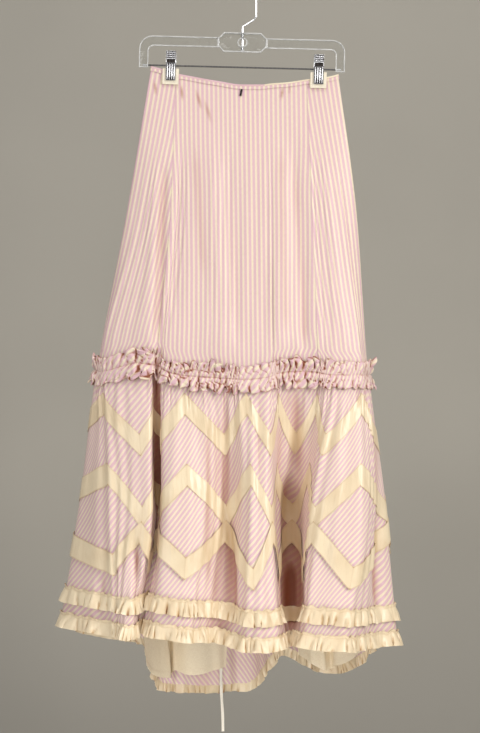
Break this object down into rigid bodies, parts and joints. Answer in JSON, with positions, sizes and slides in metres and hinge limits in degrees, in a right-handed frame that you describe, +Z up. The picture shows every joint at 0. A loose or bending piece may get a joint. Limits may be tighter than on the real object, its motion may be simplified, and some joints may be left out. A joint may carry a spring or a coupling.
{
  "type": "ruffle maxi skirt on a clip hanger",
  "caption": "Full-length striped silk skirt with a puffed heading, a pointed tier edged in satin bands, satin frills and a short train, held flat by a clear clip hanger.",
  "frame": {"origin": "inside top of the hanger's hook, where a rail carries it", "axes": "+Z up, the skirt's front faces -Y, +X to the right as seen from the front"},
  "size_m": [0.6138, 0.3052, 1.3231],
  "materials": {
    "striped_silk": "pink and cream striped silk taffeta, soft sheen",
    "cream_satin": "cream silk satin",
    "cotton_lining": "plain cream cotton",
    "cotton_tape": "narrow cotton tape",
    "clear_plastic": "clear moulded plastic",
    "chrome": "bright plated steel",
    "cream_card": "cream padding card",
    "dark_metal": "darkened metal"
  },
  "bodies": {
    "root": {"gore_front": "striped_silk", "gore_back": "striped_silk", "gore_left": "striped_silk", "gore_right": "striped_silk", "waist_binding": "striped_silk", "flounce_front": "striped_silk", "flounce_back": "striped_silk", "flounce_left": "striped_silk", "flounce_right": "striped_silk", "overlay": "striped_silk", "band_upper": "cream_satin", "band_middle": "cream_satin", "band_edge": "cream_satin", "ruche": "striped_silk", "frill_upper": "cream_satin", "frill_lower": "cream_satin", "train_lining_left": "cotton_lining", "train_lining_right": "cotton_lining", "train_tape": "cotton_tape", "waist_hook": "dark_metal", "hanger_frame": "clear_plastic", "hanger_hook": "chrome", "hanger_rod": "chrome", "clip_left_front_jaw": "chrome", "clip_left_back_jaw": "chrome", "clip_left_spring": "chrome", "clip_right_front_jaw": "chrome", "clip_right_back_jaw": "chrome", "clip_right_spring": "chrome", "clip_left_front_pad": "cream_card", "clip_left_back_pad": "cream_card", "clip_right_front_pad": "cream_card", "clip_right_back_pad": "cream_card"}
  },
  "joints": []
}
